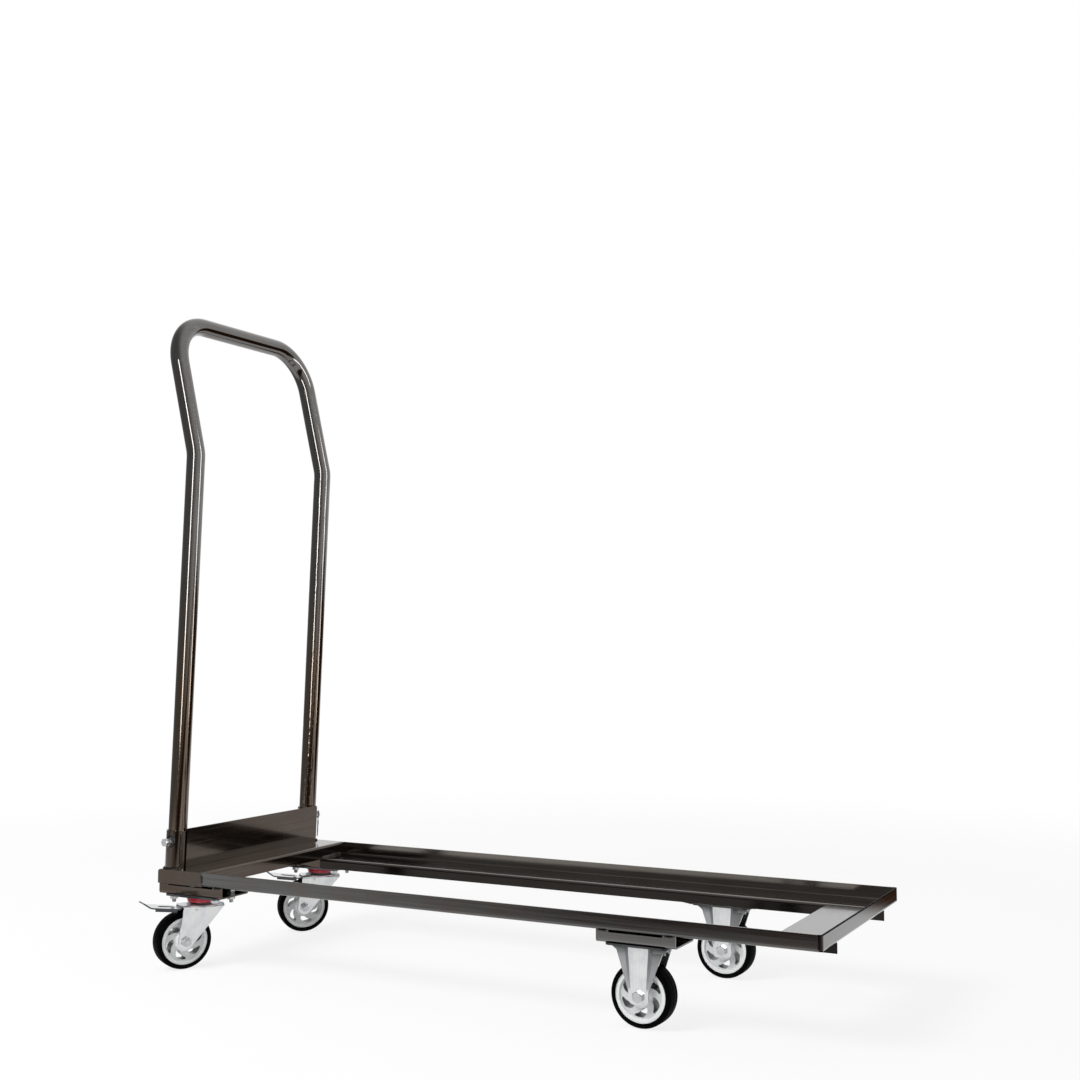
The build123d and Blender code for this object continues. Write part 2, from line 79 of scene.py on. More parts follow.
# camera at the place worked out from the vanishing lines of the rails
cameraSet = {
    "fromCorner": (603.83, -2005.49, 599.88),  # mm from the open end's front corner, on the floor
    "lens": 47.76,  # mm
    "sensor": 36.0,  # mm
    "pitch": 3.676,  # degrees upwards
    "yaw": 27.741,  # degrees towards the handle
}
cornerX = cornersOf("end_plate")[1][0]
cornerY = cornersOf("side_rail_front")[0][1]
cameraData = bpy.data.cameras.new("camera")
cameraData.lens = cameraSet["lens"]
cameraData.sensor_width = cameraSet["sensor"]
camera = bpy.data.objects.new("camera", cameraData)
camera.location = np.array((cornerX, cornerY, 0.0)) + np.array(cameraSet["fromCorner"]) * mm
camera.rotation_euler = (math.radians(90 + cameraSet["pitch"]), 0, math.radians(cameraSet["yaw"]))
bpy.context.scene.collection.objects.link(camera)
bpy.context.scene.camera = camera
bpy.context.scene.view_settings.view_transform = "Standard"
print("camera set")


def linear(hexColour):  # sRGB hex to linear, with alpha
    value = np.array([int(hexColour[i:i + 2], 16) / 255 for i in (1, 3, 5)])
    value = np.where(value <= 0.04045, value / 12.92, ((value + 0.055) / 1.055) ** 2.4)
    return (*value.tolist(), 1.0)


def repeats(size):  # a pattern's scale per metre, from its real size in mm
    return 1000 / size


def addNode(tree, kind, inputs=None, stops=(), **settings):  # one node with its settings, links and ramp
    made = tree.nodes.new(kind)
    for key, value in settings.items():
        setattr(made, key, value)
    for key, value in (inputs or {}).items():
        if isinstance(value, bpy.types.NodeSocket):
            tree.links.new(value, made.inputs[key])
        else:
            made.inputs[key].default_value = value
    for number, (position, colour) in enumerate(stops):  # a new ramp has two stops
        ramp = made.color_ramp.elements
        stop = ramp[number] if number < 2 else ramp.new(position)
        stop.position = position
        stop.color = colour
    return made


def startMaterial(name):
    material = bpy.data.materials.new(name)
    material.use_nodes = True
    tree = material.node_tree
    tree.nodes.clear()
    place = addNode(tree, "ShaderNodeTexCoord").outputs["Object"]
    return material, tree, place


def closeMaterial(tree, sockets):
    shader = addNode(tree, "ShaderNodeBsdfPrincipled", sockets)
    addNode(tree, "ShaderNodeOutputMaterial", {"Surface": shader.outputs["BSDF"]})


# cold rolled steel under clear lacquer: dark grey, faint rolling streaks, soft clouds and a sharp gloss;
# painted shade darkens and dulls the lips under the bed and the end plate's faces turned along y, and the end
# rim is darkened and dulled the same way along its top 1.3 mm
lacquerSet = {"streakRange": (0.3, 0.7), "cloudRange": (0.45, 0.75), "ridgeHeight": 0.4, "coat": 0.35,
              "coatRough": 0.05, "soot": "#171413"}
sheetSteelSet = {"streakWidth": 2.2, "streakLength": 160.0, "cloud": 90.0, "warm": 0.6,
                 "rough": (0.11, 0.19), "ridge": 0.04}
tubeSteelSet = {
    "streakWidth": 1.1, "streakLength": 240.0, "cloud": 60.0, "warm": 0.2, "rough": (0.09, 0.12),
    "ridge": 0.0,
    "barLevel": (1.10, 1.17),  # m, where the handle turns from its legs into its bar
    "warmLevel": (0.74, 0.5),  # m, where the legs turn browner downwards
    "legWarm": 0.85,
}
neutralTone = {"light": "#646463", "dark": "#4f4f4f", "tint": "#5d5047"}  # front rail and end plate
rearLitTone = {"light": "#7c7771", "dark": "#67625d", "tint": "#6d6156"}  # rear rail: a paler copy of the rail steel, a painted reflection
litPanTone = {"light": "#747372", "dark": "#5f5f5e", "tint": "#66615d"}  # pans of the fixed wheels: a paler copy of the pan steel, painted light
brownTone = {"light": "#574d45", "dark": "#3f3730", "tint": "#49392e"}  # hot rolled pieces, browner
tubeTone = {"light": "#747270", "dark": "#5a5957", "tint": "#66584b"}
# each darkening starts and is full along a coordinate, or along a normal counted both ways
bedLevel, rimLevel = (float(corner[2]) for corner in cornersOf("end_plate"))
# painted shade: the lips under the bed darken below the bed level
lipShade = {"cover": 0.88, "source": "Object", "axis": "Z", "start": bedLevel, "full": bedLevel - 1.5 * mm}
# the end rim darker along its top 1.3 mm
rimTopDark = {"cover": 0.8, "source": "Object", "axis": "Z", "start": rimLevel - 1.7 * mm,
            "full": rimLevel - 1.3 * mm}
# painted shade on the end plate's faces turned along y
cornerShade = {"cover": 0.8, "source": "Normal", "axis": "Y", "start": 0.25, "full": 0.7}


def lacqueredSteel(name, lengthways, given, tone, darkenings=()):
    material, tree, place = startMaterial(name)
    across, along = repeats(given["streakWidth"]), repeats(given["streakLength"])
    streaks = []
    for way in lengthways:
        stretch = [along if axis == way else across for axis in "xyz"]
        run = addNode(tree, "ShaderNodeMapping", {"Vector": place, "Scale": stretch})
        noise = addNode(tree, "ShaderNodeTexNoise", {"Vector": run.outputs[0], "Scale": 1.0, "Detail": 4.0})
        streaks.append(noise.outputs[0])
    streak = streaks[0]
    cloud = addNode(tree, "ShaderNodeTexNoise", {"Vector": place, "Scale": repeats(given["cloud"]),
                                                 "Detail": 3.0})
    start, end = lacquerSet["cloudRange"]
    warmth = addNode(tree, "ShaderNodeMapRange", {"Value": cloud.outputs[0], "From Min": start,
                                                  "From Max": end, "To Max": given["warm"]}).outputs[0]
    if len(streaks) > 1:  # the second way takes over above the bends, and the legs turn browner downwards
        height = addNode(tree, "ShaderNodeSeparateXYZ", {"Vector": place}).outputs["Z"]
        start, end = given["barLevel"]
        above = addNode(tree, "ShaderNodeMapRange", {"Value": height, "From Min": start, "From Max": end},
                        interpolation_type="SMOOTHSTEP")
        streak = addNode(tree, "ShaderNodeMix", {"Factor": above.outputs[0], "A": streaks[0],
                                                 "B": streaks[1]}).outputs[0]
        start, end = given["warmLevel"]
        lower = addNode(tree, "ShaderNodeMapRange", {"Value": height, "From Min": start, "From Max": end,
                                                     "To Max": given["legWarm"]})
        warmth = addNode(tree, "ShaderNodeMath", {0: warmth, 1: lower.outputs[0]},
                         operation="MAXIMUM").outputs[0]
    start, end = lacquerSet["streakRange"]
    steel = addNode(tree, "ShaderNodeValToRGB", {"Fac": streak},
                    ((start, linear(tone["dark"])), (end, linear(tone["light"]))))
    colour = addNode(tree, "ShaderNodeMix", {"Factor": warmth, "A": steel.outputs[0],
                                             "B": linear(tone["tint"])}, data_type="RGBA").outputs[2]
    low, high = given["rough"]
    rough = addNode(tree, "ShaderNodeMapRange", {"Value": streak, "From Min": start, "From Max": end,
                                                 "To Min": low, "To Max": high})
    coat = lacquerSet["coat"]
    grazing = linear("#ffffff")  # what the metal mirrors at a flat angle
    darkColour = linear(lacquerSet["soot"])
    # painted shade, and the darker rim top: colour, mirrored tint and coat fall towards the dark colour
    for soot in darkenings:
        value = addNode(tree, "ShaderNodeTexCoord").outputs[soot["source"]]
        value = addNode(tree, "ShaderNodeSeparateXYZ", {"Vector": value}).outputs[soot["axis"]]
        if soot["source"] == "Normal":
            value = addNode(tree, "ShaderNodeMath", {0: value}, operation="ABSOLUTE").outputs[0]
        cover = addNode(tree, "ShaderNodeMapRange", {"Value": value, "From Min": soot["start"],
                                                     "From Max": soot["full"], "To Max": soot["cover"]})
        cover = cover.outputs[0]
        colour = addNode(tree, "ShaderNodeMix", {"Factor": cover, "A": colour, "B": darkColour},
                         data_type="RGBA").outputs[2]
        grazing = addNode(tree, "ShaderNodeMix", {"Factor": cover, "A": grazing, "B": darkColour},
                          data_type="RGBA").outputs[2]
        bare = addNode(tree, "ShaderNodeMath", {0: 1.0, 1: cover}, operation="SUBTRACT").outputs[0]
        coat = addNode(tree, "ShaderNodeMath", {0: bare, 1: coat}, operation="MULTIPLY").outputs[0]
    bump = addNode(tree, "ShaderNodeBump", {"Height": streak, "Strength": given["ridge"],
                                            "Distance": lacquerSet["ridgeHeight"] * mm})
    closeMaterial(tree, {"Base Color": colour, "Metallic": 1.0, "Specular Tint": grazing,
                         "Roughness": rough.outputs[0], "Normal": bump.outputs[0], "Coat Weight": coat,
                         "Coat Roughness": lacquerSet["coatRough"]})
    return material


railSteel = lacqueredSteel("lacquered_sheet_steel", "x", sheetSteelSet, neutralTone, (lipShade,))
rearSteel = lacqueredSteel("lacquered_rear_steel", "x", sheetSteelSet, rearLitTone, (lipShade,))
endSteel = lacqueredSteel("lacquered_end_steel", "y", sheetSteelSet, neutralTone, (rimTopDark, cornerShade))
boxSteel = lacqueredSteel("lacquered_box_steel", "y", sheetSteelSet, brownTone)
panSteel = lacqueredSteel("lacquered_pan_steel", "x", sheetSteelSet, brownTone)
tubeSteel = lacqueredSteel("lacquered_tube_steel", "zy", tubeSteelSet, tubeTone)
socketSteel = lacqueredSteel("lacquered_socket_steel", "z", sheetSteelSet, brownTone)
fixedPanSteel = lacqueredSteel("lacquered_fixed_pan_steel", "x", sheetSteelSet, litPanTone)

# bright zinc plate on pressed steel: pale silver, soft clouds, fine drawing lines left by the press; painted
# shade on faces turned a given way, and painted shade from the pan on the fork's top plate and upper flanges
zincSet = {
    "cloud": 22.0, "line": 0.8, "lineLength": 45.0, "lineShare": 0.4, "toneRange": (0.3, 0.65),
    "warmRange": (0.55, 0.8), "warm": 0.5, "roughRange": (0.3, 0.7), "ridge": 0.03, "ridgeHeight": 0.3,
    "bright": 0.8,
    # painted shade under the pan: its colour, how far down the flanges it reaches, and how dark it is on the
    # plate and beside the panel
    "grime": "#1b1c1d", "grimeReach": 17.0, "plateGrime": 0.9, "plateEdge": 0.2,
    "panel": (16.0, 22.0), "besideGrime": 0.92,  # mm from the fork's middle where the panel ends
}
# dull: the colour of the painted shade on faces turned the given way
sheetTone = {"light": "#e2e3e4", "dark": "#c9cbcd", "warm": "#d8d5cb", "dull": "#5d5f62",
             "rough": (0.10, 0.20)}
edgeTone = {"light": "#dcdddf", "dark": "#c2c4c6", "warm": "#d2cfc5", "dull": "#35373a",
            "rough": (0.10, 0.20)}
boltTone = {"light": "#d0d2d4", "dark": "#a9abad", "warm": "#c0bbac", "rough": (0.14, 0.26)}
# how far a face looks a given way, and how much painted shade it gets then
# fork: painted shade on the walls and flanges, the edges turned fully along x left bright as a painted
# highlight line
shadedWalls = ((0.015, 0.0), (0.075, 0.55), (0.36, 0.88), (0.6, 0.88), (0.95, 0.1))
# top plate and pedal: painted shade on the upright faces
shadedEdges = ((0.4, 0.95), (0.75, 0.0))
plateFoot = float(cornersOf("swivel_plate_front")[0][2])
forkMiddle = float(wheelPlaces["fixed_front"][0][0])


def zincPlate(name, tone, way=None, shadeStops=(), above=None):
    given = zincSet
    material, tree, place = startMaterial(name)
    cloud = addNode(tree, "ShaderNodeTexNoise", {"Vector": place, "Scale": repeats(given["cloud"]),
                                                 "Detail": 3.0})
    across, along = repeats(given["line"]), repeats(given["lineLength"])
    run = addNode(tree, "ShaderNodeMapping", {"Vector": place, "Scale": (across, across, along)})
    line = addNode(tree, "ShaderNodeTexNoise", {"Vector": run.outputs[0], "Scale": 1.0, "Detail": 3.0})
    mixed = addNode(tree, "ShaderNodeMix", {"Factor": given["lineShare"], "A": cloud.outputs[0],
                                            "B": line.outputs[0]}).outputs[0]
    start, end = given["toneRange"]
    plate = addNode(tree, "ShaderNodeValToRGB", {"Fac": mixed},
                    ((start, linear(tone["dark"])), (end, linear(tone["light"]))))
    start, end = given["warmRange"]
    warmth = addNode(tree, "ShaderNodeMapRange", {"Value": cloud.outputs[0], "From Min": start,
                                                  "From Max": end, "To Max": given["warm"]})
    colour = addNode(tree, "ShaderNodeMix", {"Factor": warmth.outputs[0], "A": plate.outputs[0],
                                             "B": linear(tone["warm"])}, data_type="RGBA").outputs[2]
    if shadeStops:
        # painted shade: faces turned along the given way fall towards the dull colour
        facing = addNode(tree, "ShaderNodeTexCoord").outputs["Normal"]
        lean = addNode(tree, "ShaderNodeVectorMath", {0: facing, 1: way}, operation="DOT_PRODUCT")
        lean = addNode(tree, "ShaderNodeMath", {0: lean.outputs["Value"]}, operation="ABSOLUTE")
        turnedShade = addNode(tree, "ShaderNodeValToRGB", {"Fac": lean.outputs[0]},
                        [(at, (dull, dull, dull, 1.0)) for at, dull in shadeStops])
        colour = addNode(tree, "ShaderNodeMix", {"Factor": turnedShade.outputs[0], "A": colour,
                                                 "B": linear(tone["dull"])}, data_type="RGBA").outputs[2]
    if above:  # painted shade under the pan: dark over the top plate, thinning out down the flanges on both sides of the panel
        spot = addNode(tree, "ShaderNodeSeparateXYZ", {"Vector": place}).outputs
        inPlate = addNode(tree, "ShaderNodeMapRange", {"Value": spot["Z"], "From Max": above,
                                                       "From Min": above - given["plateEdge"] * mm,
                                                       "To Max": given["plateGrime"]})
        below = addNode(tree, "ShaderNodeMapRange", {"Value": spot["Z"], "From Max": above,
                                                     "From Min": above - given["grimeReach"] * mm},
                        interpolation_type="SMOOTHSTEP")
        off = addNode(tree, "ShaderNodeMath", {0: spot["X"], 1: forkMiddle}, operation="SUBTRACT")
        off = addNode(tree, "ShaderNodeMath", {0: off.outputs[0]}, operation="ABSOLUTE")
        start, end = given["panel"]
        beside = addNode(tree, "ShaderNodeMapRange", {"Value": off.outputs[0], "From Min": start * mm,
                                                      "From Max": end * mm, "To Max": given["besideGrime"]})
        # painted shade beside the panel, fading downwards from the plate
        smear = addNode(tree, "ShaderNodeMath", {0: beside.outputs[0], 1: below.outputs[0]},
                        operation="MULTIPLY")
        grime = addNode(tree, "ShaderNodeMath", {0: smear.outputs[0], 1: inPlate.outputs[0]},
                        operation="MAXIMUM")
        colour = addNode(tree, "ShaderNodeMix", {"Factor": grime.outputs[0], "A": colour,
                                                 "B": linear(given["grime"])}, data_type="RGBA").outputs[2]
    start, end = given["roughRange"]
    low, high = tone["rough"]
    rough = addNode(tree, "ShaderNodeMapRange", {"Value": mixed, "From Min": start, "From Max": end,
                                                 "To Min": high, "To Max": low})
    bump = addNode(tree, "ShaderNodeBump", {"Height": line.outputs[0], "Strength": given["ridge"],
                                            "Distance": given["ridgeHeight"] * mm})
    closeMaterial(tree, {"Base Color": colour, "Metallic": given["bright"], "Roughness": rough.outputs[0],
                         "Normal": bump.outputs[0]})
    return material


zincSteel = zincPlate("bright_zinc_steel", sheetTone)
zincForkSteel = zincPlate("bright_zinc_fork_steel", sheetTone, (1, 0, 0), shadedWalls, plateFoot)
zincEdgedSteel = zincPlate("bright_zinc_edged_steel", edgeTone, (0, 0, 1), shadedEdges)
zincBoltSteel = zincPlate("bright_zinc_bolt_steel", boltTone)

# moulded polypropylene wheel centre: light grey, faint flow marks, a fine spark-eroded skin, painted shade in
# the windows and on the recessed web
centreSet = {
    "light": "#edeeee", "dark": "#e3e5e5", "toneRange": (0.3, 0.7), "flow": 24.0, "swirl": 0.8,
    "web": 24.0, "edge": 1.6, "blend": 0.2, "dust": "#3f4041", "dustCover": 0.9,
    "recess": "#cfd1d2", "rise": 2.4,  # painted shade: the recessed web is darker than what stands proud of it
    "skin": 0.6, "skinDepth": 0.12, "skinHeight": 0.3, "rough": (0.22, 0.38), "ior": 1.49,
}


def wheelPlastic(name, centre, axis):
    given = centreSet
    material, tree, place = startMaterial("moulded_polypropylene_" + name)
    flow = addNode(tree, "ShaderNodeTexNoise", {"Vector": place, "Scale": repeats(given["flow"]),
                                                "Detail": 3.0, "Distortion": given["swirl"]})
    start, end = given["toneRange"]
    tone = addNode(tree, "ShaderNodeValToRGB", {"Fac": flow.outputs[0]},
                   ((start, linear(given["dark"])), (end, linear(given["light"]))))
    along = addNode(tree, "ShaderNodeVectorMath", {0: place, 1: axis.tolist()}, operation="DOT_PRODUCT")
    off = addNode(tree, "ShaderNodeMath", {0: along.outputs["Value"], 1: float(np.dot(centre, axis))},
                  operation="SUBTRACT")
    off = addNode(tree, "ShaderNodeMath", {0: off.outputs[0]}, operation="ABSOLUTE")
    face, blend = given["web"] / 2 * mm, given["blend"] * mm
    # painted shade in the windows, between the wheel's two faces
    inside = addNode(tree, "ShaderNodeMapRange", {"Value": off.outputs[0], "From Min": face - blend,
                                                  "From Max": face - given["edge"] * mm,
                                                  "To Max": given["dustCover"]})
    raised = addNode(tree, "ShaderNodeMapRange", {"Value": off.outputs[0], "From Min": face + blend,
                                                  "From Max": face + given["rise"] * mm})
    colour = addNode(tree, "ShaderNodeMix", {"Factor": raised.outputs[0], "A": linear(given["recess"]),
                                             "B": tone.outputs[0]}, data_type="RGBA")
    colour = addNode(tree, "ShaderNodeMix", {"Factor": inside.outputs[0], "A": colour.outputs[2],
                                             "B": linear(given["dust"])}, data_type="RGBA")
    skin = addNode(tree, "ShaderNodeTexNoise", {"Vector": place, "Scale": repeats(given["skin"]),
                                                "Detail": 2.0})
    low, high = given["rough"]
    shine = addNode(tree, "ShaderNodeMapRange", {"Value": skin.outputs[0], "To Min": low, "To Max": high})
    bump = addNode(tree, "ShaderNodeBump", {"Height": skin.outputs[0], "Strength": given["skinDepth"],
                                            "Distance": given["skinHeight"] * mm})
    closeMaterial(tree, {"Base Color": colour.outputs[2], "Roughness": shine.outputs[0], "IOR": given["ior"],
                         "Normal": bump.outputs[0]})
    return material


wheelPlastics = {name: wheelPlastic(name, *spot) for name, spot in wheelPlaces.items()}

# black moulded rubber: near black, dull, with a dusty bloom in soft patches and a fine pitted skin
rubberSet = {"clean": "#030303", "bloom": "#0a0a0b", "bloomRange": (0.4, 0.75), "patch": 30.0, "pit": 0.9,
             "pitDepth": 0.18, "pitHeight": 0.4, "rough": (0.5, 0.75), "ior": 1.52, "gloss": 0.02}
given = rubberSet
tyreRubber, tree, place = startMaterial("black_tyre_rubber")
patch = addNode(tree, "ShaderNodeTexNoise", {"Vector": place, "Scale": repeats(given["patch"]),
                                             "Detail": 5.0})
start, end = given["bloomRange"]
bloom = addNode(tree, "ShaderNodeValToRGB", {"Fac": patch.outputs[0]},
                ((start, linear(given["clean"])), (end, linear(given["bloom"]))))
pit = addNode(tree, "ShaderNodeTexNoise", {"Vector": place, "Scale": repeats(given["pit"]), "Detail": 3.0})
low, high = given["rough"]
dull = addNode(tree, "ShaderNodeMapRange", {"Value": patch.outputs[0], "To Min": low, "To Max": high})
bump = addNode(tree, "ShaderNodeBump", {"Height": pit.outputs[0], "Strength": given["pitDepth"],
                                        "Distance": given["pitHeight"] * mm})
closeMaterial(tree, {"Base Color": bloom.outputs[0], "Roughness": dull.outputs[0], "IOR": given["ior"],
                     "Specular IOR Level": given["gloss"], "Normal": bump.outputs[0]})

# red moulded nylon seal: strong red, half gloss, slightly paler where the mould parted
sealSet = {"deep": "#a50d27", "pale": "#c2203a", "toneRange": (0.35, 0.7), "flow": 9.0, "rough": (0.25, 0.4),
           "ior": 1.53}
given = sealSet
sealNylon, tree, place = startMaterial("red_moulded_nylon")
flow = addNode(tree, "ShaderNodeTexNoise", {"Vector": place, "Scale": repeats(given["flow"]), "Detail": 3.0})
start, end = given["toneRange"]
tone = addNode(tree, "ShaderNodeValToRGB", {"Fac": flow.outputs[0]},
               ((start, linear(given["deep"])), (end, linear(given["pale"]))))
low, high = given["rough"]
shine = addNode(tree, "ShaderNodeMapRange", {"Value": flow.outputs[0], "To Min": low, "To Max": high})
closeMaterial(tree, {"Base Color": tone.outputs[0], "Roughness": shine.outputs[0], "IOR": given["ior"]})

# oiled bearing steel: dark and wet looking, with smears of oil
raceSet = {"light": "#4a4b4d", "dark": "#2d2d2f", "smear": 6.0, "rough": (0.12, 0.35)}
given = raceSet
bearingSteel, tree, place = startMaterial("oiled_bearing_steel")
smear = addNode(tree, "ShaderNodeTexNoise", {"Vector": place, "Scale": repeats(given["smear"]),
                                             "Detail": 4.0})
tone = addNode(tree, "ShaderNodeValToRGB", {"Fac": smear.outputs[0]},
               ((0.0, linear(given["dark"])), (1.0, linear(given["light"]))))
low, high = given["rough"]
wet = addNode(tree, "ShaderNodeMapRange", {"Value": smear.outputs[0], "To Min": low, "To Max": high})
closeMaterial(tree, {"Base Color": tone.outputs[0], "Metallic": 1.0, "Roughness": wet.outputs[0]})

# welded steel bead left as laid: dark scale with straw and blue heat tints, rough where the slag came off
weldSkinSet = {"blue": "#3e4045", "scale": "#3a3836", "straw": "#50463b", "heats": (0.35, 0.5, 0.68),
               "patch": 9.0, "rough": (0.22, 0.5), "pitDepth": 0.1, "pitHeight": 0.4}
given = weldSkinSet
weldSteel, tree, place = startMaterial("bare_weld_bead")
heat = addNode(tree, "ShaderNodeTexNoise", {"Vector": place, "Scale": repeats(given["patch"]),
                                            "Detail": 4.0})
tone = addNode(tree, "ShaderNodeValToRGB", {"Fac": heat.outputs[0]},
               list(zip(given["heats"], (linear(given[tint]) for tint in ("blue", "scale", "straw")))))
low, high = given["rough"]
dull = addNode(tree, "ShaderNodeMapRange", {"Value": heat.outputs[0], "To Min": low, "To Max": high})
bump = addNode(tree, "ShaderNodeBump", {"Height": heat.outputs[0], "Strength": given["pitDepth"],
                                        "Distance": given["pitHeight"] * mm})
closeMaterial(tree, {"Base Color": tone.outputs[0], "Metallic": 1.0, "Roughness": dull.outputs[0],
                     "Normal": bump.outputs[0]})
print("materials made")

# finish of every solid, by the start of its name
finishes = {
    "side_rail_front": railSteel, "side_rail_rear": rearSteel, "end_plate": endSteel,
    "end_carrier": boxSteel, "end_wall": boxSteel, "handle_socket": socketSteel, "push_handle": tubeSteel,
    "fixed_pan": fixedPanSteel, "swivel_pan": panSteel, "clamp": zincBoltSteel, "caster": zincBoltSteel,
    "fixed_fork": zincForkSteel, "fixed_axle": zincBoltSteel, "swivel_plate": zincEdgedSteel,
    "kingpin": zincBoltSteel,
    "swivel_fork": zincSteel, "swivel_axle": zincBoltSteel, "pedal_pin": zincBoltSteel,
    "brake_pedal": zincEdgedSteel, "seal_ring": sealNylon, "thrust_race": bearingSteel,
    "brake_shoe": tyreRubber, "fixed_tyre": tyreRubber, "swivel_tyre": tyreRubber,
}
for kind, side in (name.split("_") for name in wheelPlaces):
    for part in ("wheel", "bush"):
        finishes[f"{kind}_{part}_{side}"] = wheelPlastics[f"{kind}_{side}"]
for name, piece in frame["nodes"].items():
    finish = next(finishes[start] for start in finishes if name.startswith(start))
    for materialSlot in piece.material_slots:
        materialSlot.material = finish
print("finishes given")

smoothAngles = {"tyre": 35, "fastener": 25, "weld": 60}  # degrees between two faces that still look like one


def gridFaces(rows, columns, closeRows):  # quads of a grid that is closed round its columns
    r = np.arange(rows if closeRows else rows - 1)[:, None]
    c = np.arange(columns)[None, :]
    nextRow = (r + 1) % rows
    nextColumn = (c + 1) % columns
    quads = np.stack(np.broadcast_arrays(r * columns + c, r * columns + nextColumn,
                                         nextRow * columns + nextColumn, nextRow * columns + c), -1)
    return quads.reshape(-1, 4)


def addPiece(name, parts, body, material, smoothAngle):  # one mesh from several point grids
    points, faces, start = [], [], 0
    for grid, closeRows in parts:
        rows, columns = grid.shape[:2]
        points.append(grid.reshape(-1, 3))
        faces.append(gridFaces(rows, columns, closeRows) + start)
        start += rows * columns
    mesh = bpy.data.meshes.new(name)
    mesh.from_pydata(np.concatenate(points), [], np.concatenate(faces))
    work = bmesh.new()
    work.from_mesh(mesh)
    bmesh.ops.remove_doubles(work, verts=work.verts, dist=1e-6)  # closes poles
    bmesh.ops.recalc_face_normals(work, faces=work.faces)
    work.to_mesh(mesh)
    work.free()
    mesh.polygons.foreach_set("use_smooth", np.ones(len(mesh.polygons), bool))
    mesh.set_sharp_from_angle(angle=math.radians(smoothAngle))
    mesh.materials.append(material)
    piece = bpy.data.objects.new(name, mesh)
    bpy.context.scene.collection.objects.link(piece)
    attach(piece, body)
    return piece


def standUp(parts, origin, axis, side):  # grids in mm about z become grids in metres about a given axis
    axis = unit(axis)
    side = unit(np.asarray(side) - axis * np.dot(side, axis))
    turn = np.stack([side, np.cross(axis, side), axis])
    return [(grid * mm @ turn + np.asarray(origin), closeRows) for grid, closeRows in parts]


def roundTurn(count):
    return np.linspace(0, 2 * math.pi, count, endpoint=False)


def ringGrid(profile, count=72):  # each point of radius and height goes once round z, and a bore closes it
    turn = roundTurn(count)
    radius, height = np.asarray(profile, float).T
    grid = np.stack([radius[:, None] * np.cos(turn), radius[:, None] * np.sin(turn),
                     np.repeat(height[:, None], count, 1)], -1)
    return grid, bool(radius.min() > 0)


hexSet = {"count": 72, "crest": 0.95, "cone": 30.0}
threadSet = {"count": 36, "steps": 8, "depth": 0.55}


def hexGrid(flats, base, top, bore):
    # radius of a hexagon at each angle, its corners cut at both ends by a cone
    turn = roundTurn(hexSet["count"])
    corner = flats / 2 / np.cos(turn % (math.pi / 3) - math.pi / 6)
    crest = np.full_like(turn, hexSet["crest"] * flats / 2)
    drop = (corner - crest) * math.tan(math.radians(hexSet["cone"]))
    hole = np.full_like(turn, bore)
    radius = np.stack([hole, crest, corner, corner, crest, hole])
    level = np.zeros_like(turn)
    height = np.stack([level + base, level + base, base + drop, top - drop, level + top, level + top])
    return np.stack([radius * np.cos(turn), radius * np.sin(turn), height], -1), bore > 0


def threadGrid(radius, pitch, start, end, lead):
    # radius falls by a triangle wave of height over pitch less angle, and by a cone at the far end
    turn = roundTurn(threadSet["count"])
    height = np.arange(start, end + 1e-9, pitch / threadSet["steps"])
    height = np.append(height, end)[:, None]
    wave = np.abs(2 * ((height / pitch - turn / (2 * math.pi)) % 1) - 1)
    body = radius - threadSet["depth"] * pitch * wave
    body = np.minimum(body, radius - lead + (end - height))
    grid = np.stack([body * np.cos(turn), body * np.sin(turn), np.broadcast_to(height, body.shape)], -1)
    foot = grid[:1] * (0, 0, 1)
    tip = grid[-1:] * (0, 0, 1)
    return np.concatenate([foot, grid, tip]), False


# bolts, nuts and washers of the four casters
casterBoltSet = {"fixedPitch": (72.0, 17.8), "swivelPitch": (95.0, 44.0), "radius": 4.0, "thread": 1.25,
                 "flats": 13.0, "head": 5.3, "lead": 1.0, "washer": 7.5, "washerHeight": 1.4,
                 "washerEdge": 0.3}
given = casterBoltSet
boltLow, boltHigh = cornersInMm("caster_bolts")
nutLow, nutHigh = cornersInMm("caster_nuts")
headTop, plateFace = boltHigh[2], nutHigh[2]
washerFoot = plateFace - given["washerHeight"]
shank = threadGrid(given["radius"], given["thread"], -headTop + given["head"], -boltLow[2], given["lead"])
head = hexGrid(given["flats"], headTop - given["head"], headTop, 0.0)
nut = hexGrid(given["flats"], nutLow[2], washerFoot, given["radius"])
washer = ringGrid([(given["radius"], plateFace), (given["washer"], plateFace),
                   (given["washer"], washerFoot + given["washerEdge"]),
                   (given["washer"] - given["washerEdge"], washerFoot), (given["radius"], washerFoot)])
boltParts, nutParts = [], []
for plate in ("fixed_fork_front", "fixed_fork_rear", "swivel_plate_front", "swivel_plate_rear"):
    pitch = given["fixedPitch" if plate.startswith("fixed") else "swivelPitch"]
    for i in (-0.5, 0.5):
        for j in (-0.5, 0.5):
            spot = middleOf(plate) * (1, 1, 0) + np.array((i * pitch[0], j * pitch[1], 0)) * mm
            boltParts += standUp([shank], spot, (0, 0, -1), (1, 0, 0))
            boltParts += standUp([head], spot, (0, 0, 1), (1, 0, 0))
            nutParts += standUp([nut, washer], spot, (0, 0, 1), (1, 0, 0))
angle = smoothAngles["fastener"]
piece = addPiece("caster_bolts_threaded", boltParts, "frame", zincBoltSteel, angle)
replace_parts(piece, "caster_bolts")
piece = addPiece("caster_nuts_washers", nutParts, "frame", zincBoltSteel, angle)
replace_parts(piece, "caster_nuts")

